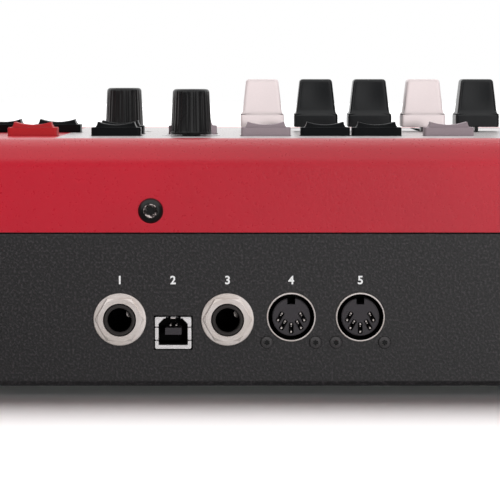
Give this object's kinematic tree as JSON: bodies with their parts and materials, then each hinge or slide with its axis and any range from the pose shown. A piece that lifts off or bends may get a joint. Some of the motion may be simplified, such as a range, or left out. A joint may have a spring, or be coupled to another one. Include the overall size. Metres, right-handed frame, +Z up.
{
  "type": "stage keyboard",
  "caption": "Stage keyboard with a red steel cover, black tray, waterfall keys, drawbars, fluted knobs, push buttons and a rear wall of sockets.",
  "frame": {"origin": "on the surface the feet stand on, under the middle of the instrument's length and depth", "axes": "+X to the player's right along the keys, +Y to the rear socket wall, +Z up"},
  "size_m": [0.9, 0.296, 0.097],
  "materials": {
    "red_paint": "fine satin powder coat on folded steel",
    "black_powder_coat": "fine speckled powder coat on folded steel",
    "red_wood": "red satin lacquer",
    "key_white": "polished moulded keys",
    "key_black": "satin moulded keys",
    "black_plastic": "satin moulded",
    "white_plastic": "semi-gloss moulded",
    "brown_plastic": "semi-gloss moulded",
    "black_rubber": "satin silicone rubber",
    "grey_rubber": "satin silicone rubber",
    "red_rubber": "satin silicone rubber",
    "display_window": "glossy dark window",
    "nickel": "bright nickel plate",
    "board": "green circuit board",
    "supply_case": "bare folded sheet",
    "foot_rubber": "matt black rubber"
  },
  "bodies": {
    "case": {"top_cover": "red_paint", "bottom_tray": "black_powder_coat", "cheek_left": "red_wood", "cheek_right": "red_wood", "key_frame": "black_plastic", "display": "display_window", "pedal_jack_left": "nickel", "pedal_jack_right": "nickel", "control_pedal_jack": "nickel", "headphone_jack": "nickel", "line_output_pair": "nickel", "five_pin_socket_out": "nickel", "five_pin_socket_in": "nickel", "square_data_socket": "nickel", "mains_inlet": "black_plastic", "panel_board": "board", "main_board": "board", "power_supply": "supply_case", "foot_front_left": "foot_rubber", "foot_front_right": "foot_rubber", "foot_rear_left": "foot_rubber", "foot_rear_right": "foot_rubber"},
    "naturals_1": {"naturals_octave_1": "key_white"},
    "naturals_2": {"naturals_octave_2": "key_white"},
    "naturals_3": {"naturals_octave_3": "key_white"},
    "naturals_4": {"naturals_octave_4": "key_white"},
    "naturals_5": {"naturals_octave_5": "key_white"},
    "sharps_1": {"sharps_octave_1": "key_black"},
    "sharps_2": {"sharps_octave_2": "key_black"},
    "sharps_3": {"sharps_octave_3": "key_black"},
    "sharps_4": {"sharps_octave_4": "key_black"},
    "sharps_5": {"sharps_octave_5": "key_black"},
    "drawbar_1_slide": {"drawbar_1": "brown_plastic"},
    "drawbar_2_slide": {"drawbar_2": "brown_plastic"},
    "drawbar_3_slide": {"drawbar_3": "white_plastic"},
    "drawbar_4_slide": {"drawbar_4": "white_plastic"},
    "drawbar_5_slide": {"drawbar_5": "black_plastic"},
    "drawbar_6_slide": {"drawbar_6": "white_plastic"},
    "drawbar_7_slide": {"drawbar_7": "black_plastic"},
    "drawbar_8_slide": {"drawbar_8": "black_plastic"},
    "drawbar_9_slide": {"drawbar_9": "white_plastic"},
    "level_control": {"knob_level": "black_plastic"},
    "organ_rear_control": {"knob_organ_rear": "black_plastic"},
    "organ_front_control": {"knob_organ_front": "black_plastic"},
    "effect_control_1": {"knob_effect_1": "black_plastic"},
    "effect_control_2": {"knob_effect_2": "black_plastic"},
    "effect_control_3": {"knob_effect_3": "black_plastic"},
    "dial_control": {"program_dial": "black_plastic"},
    "red_push": {"button_red": "red_rubber"},
    "black_push_1": {"button_black_1": "black_rubber"},
    "black_push_2": {"button_black_2": "black_rubber"},
    "black_push_3": {"button_black_3": "black_rubber"},
    "black_push_4": {"button_black_4": "black_rubber"},
    "black_push_5": {"button_black_5": "black_rubber"},
    "black_push_6": {"button_black_6": "black_rubber"},
    "grey_push_1": {"button_grey_1": "grey_rubber"},
    "grey_push_2": {"button_grey_2": "grey_rubber"},
    "grey_push_3": {"button_grey_3": "grey_rubber"},
    "mat_push": {"button_mat": "grey_rubber"},
    "mains_rocker": {"power_rocker": "black_plastic"}
  },
  "joints": [
    {"name": "naturals_1_dip", "type": "hinge", "parent": "case", "child": "naturals_1", "pos_m": [0, 0.0462, 0.0535], "axis": [1, 0, 0], "range_deg": [0, 3], "stiffness_Nm_per_rad": 2.5, "springref_deg": -20.05},
    {"name": "naturals_2_dip", "type": "hinge", "parent": "case", "child": "naturals_2", "pos_m": [0, 0.0462, 0.0535], "axis": [1, 0, 0], "range_deg": [0, 3], "stiffness_Nm_per_rad": 2.5, "springref_deg": -20.05},
    {"name": "naturals_3_dip", "type": "hinge", "parent": "case", "child": "naturals_3", "pos_m": [0, 0.0462, 0.0535], "axis": [1, 0, 0], "range_deg": [0, 3], "stiffness_Nm_per_rad": 2.5, "springref_deg": -20.05},
    {"name": "naturals_4_dip", "type": "hinge", "parent": "case", "child": "naturals_4", "pos_m": [0, 0.0462, 0.0535], "axis": [1, 0, 0], "range_deg": [0, 3], "stiffness_Nm_per_rad": 2.5, "springref_deg": -20.05},
    {"name": "naturals_5_dip", "type": "hinge", "parent": "case", "child": "naturals_5", "pos_m": [0, 0.0462, 0.0535], "axis": [1, 0, 0], "range_deg": [0, 3], "stiffness_Nm_per_rad": 2.8, "springref_deg": -20.05},
    {"name": "sharps_1_dip", "type": "hinge", "parent": "case", "child": "sharps_1", "pos_m": [0, 0.0462, 0.0405], "axis": [1, 0, 0], "range_deg": [0, 4], "stiffness_Nm_per_rad": 2, "springref_deg": -20.05},
    {"name": "sharps_2_dip", "type": "hinge", "parent": "case", "child": "sharps_2", "pos_m": [0, 0.0462, 0.0405], "axis": [1, 0, 0], "range_deg": [0, 4], "stiffness_Nm_per_rad": 2, "springref_deg": -20.05},
    {"name": "sharps_3_dip", "type": "hinge", "parent": "case", "child": "sharps_3", "pos_m": [0, 0.0462, 0.0405], "axis": [1, 0, 0], "range_deg": [0, 4], "stiffness_Nm_per_rad": 2, "springref_deg": -20.05},
    {"name": "sharps_4_dip", "type": "hinge", "parent": "case", "child": "sharps_4", "pos_m": [0, 0.0462, 0.0405], "axis": [1, 0, 0], "range_deg": [0, 4], "stiffness_Nm_per_rad": 2, "springref_deg": -20.05},
    {"name": "sharps_5_dip", "type": "hinge", "parent": "case", "child": "sharps_5", "pos_m": [0, 0.0462, 0.0405], "axis": [1, 0, 0], "range_deg": [0, 4], "stiffness_Nm_per_rad": 2, "springref_deg": -20.05},
    {"name": "drawbar_1_pull", "type": "slide", "parent": "case", "child": "drawbar_1_slide", "axis": [0, -1, 0], "range_m": [0, 0.032]},
    {"name": "drawbar_2_pull", "type": "slide", "parent": "case", "child": "drawbar_2_slide", "axis": [0, -1, 0], "range_m": [0, 0.032]},
    {"name": "drawbar_3_pull", "type": "slide", "parent": "case", "child": "drawbar_3_slide", "axis": [0, -1, 0], "range_m": [0, 0.032]},
    {"name": "drawbar_4_pull", "type": "slide", "parent": "case", "child": "drawbar_4_slide", "axis": [0, -1, 0], "range_m": [0, 0.032]},
    {"name": "drawbar_5_pull", "type": "slide", "parent": "case", "child": "drawbar_5_slide", "axis": [0, -1, 0], "range_m": [0, 0.032]},
    {"name": "drawbar_6_pull", "type": "slide", "parent": "case", "child": "drawbar_6_slide", "axis": [0, -1, 0], "range_m": [0, 0.032]},
    {"name": "drawbar_7_pull", "type": "slide", "parent": "case", "child": "drawbar_7_slide", "axis": [0, -1, 0], "range_m": [0, 0.032]},
    {"name": "drawbar_8_pull", "type": "slide", "parent": "case", "child": "drawbar_8_slide", "axis": [0, -1, 0], "range_m": [0, 0.032]},
    {"name": "drawbar_9_pull", "type": "slide", "parent": "case", "child": "drawbar_9_slide", "axis": [0, -1, 0], "range_m": [0, 0.032]},
    {"name": "level_turn", "type": "hinge", "parent": "case", "child": "level_control", "pos_m": [-0.3982, 0.109, 0.079], "axis": [0, 0, -1], "range_deg": [-150, 150]},
    {"name": "organ_rear_turn", "type": "hinge", "parent": "case", "child": "organ_rear_control", "pos_m": [-0.186, 0.109, 0.079], "axis": [0, 0, -1], "range_deg": [-150, 150]},
    {"name": "organ_front_turn", "type": "hinge", "parent": "case", "child": "organ_front_control", "pos_m": [-0.1617, 0.062, 0.079], "axis": [0, 0, -1], "range_deg": [-150, 150]},
    {"name": "effect_1_turn", "type": "hinge", "parent": "case", "child": "effect_control_1", "pos_m": [0.1602, 0.1, 0.079], "axis": [0, 0, -1], "range_deg": [-150, 150]},
    {"name": "effect_2_turn", "type": "hinge", "parent": "case", "child": "effect_control_2", "pos_m": [0.2402, 0.1, 0.079], "axis": [0, 0, -1], "range_deg": [-150, 150]},
    {"name": "effect_3_turn", "type": "hinge", "parent": "case", "child": "effect_control_3", "pos_m": [0.3202, 0.1, 0.079], "axis": [0, 0, -1], "range_deg": [-150, 150]},
    {"name": "dial_turn", "type": "hinge", "parent": "case", "child": "dial_control", "pos_m": [0.06, 0.1, 0.079], "axis": [0, 0, -1], "continuous": true},
    {"name": "red_press", "type": "slide", "parent": "case", "child": "red_push", "axis": [0, 0, -1], "range_m": [0, 0.0008], "stiffness_N_per_m": 600, "springref_m": -0.001},
    {"name": "black_1_press", "type": "slide", "parent": "case", "child": "black_push_1", "axis": [0, 0, -1], "range_m": [0, 0.0008], "stiffness_N_per_m": 600, "springref_m": -0.001},
    {"name": "black_2_press", "type": "slide", "parent": "case", "child": "black_push_2", "axis": [0, 0, -1], "range_m": [0, 0.0008], "stiffness_N_per_m": 600, "springref_m": -0.001},
    {"name": "black_3_press", "type": "slide", "parent": "case", "child": "black_push_3", "axis": [0, 0, -1], "range_m": [0, 0.0008], "stiffness_N_per_m": 600, "springref_m": -0.001},
    {"name": "black_4_press", "type": "slide", "parent": "case", "child": "black_push_4", "axis": [0, 0, -1], "range_m": [0, 0.0008], "stiffness_N_per_m": 600, "springref_m": -0.001},
    {"name": "black_5_press", "type": "slide", "parent": "case", "child": "black_push_5", "axis": [0, 0, -1], "range_m": [0, 0.0008], "stiffness_N_per_m": 600, "springref_m": -0.001},
    {"name": "black_6_press", "type": "slide", "parent": "case", "child": "black_push_6", "axis": [0, 0, -1], "range_m": [0, 0.0008], "stiffness_N_per_m": 600, "springref_m": -0.001},
    {"name": "grey_1_press", "type": "slide", "parent": "case", "child": "grey_push_1", "axis": [0, 0, -1], "range_m": [0, 0.0008], "stiffness_N_per_m": 600, "springref_m": -0.001},
    {"name": "grey_2_press", "type": "slide", "parent": "case", "child": "grey_push_2", "axis": [0, 0, -1], "range_m": [0, 0.0008], "stiffness_N_per_m": 600, "springref_m": -0.001},
    {"name": "grey_3_press", "type": "slide", "parent": "case", "child": "grey_push_3", "axis": [0, 0, -1], "range_m": [0, 0.0008], "stiffness_N_per_m": 600, "springref_m": -0.001},
    {"name": "mat_press", "type": "slide", "parent": "case", "child": "mat_push", "axis": [0, 0, -1], "range_m": [0, 0.0008], "stiffness_N_per_m": 1500, "springref_m": -0.001},
    {"name": "mains_rock", "type": "hinge", "parent": "case", "child": "mains_rocker", "pos_m": [0.405, 0.143, 0.0265], "axis": [-1, 0, 0], "range_deg": [0, 14]}
  ]
}
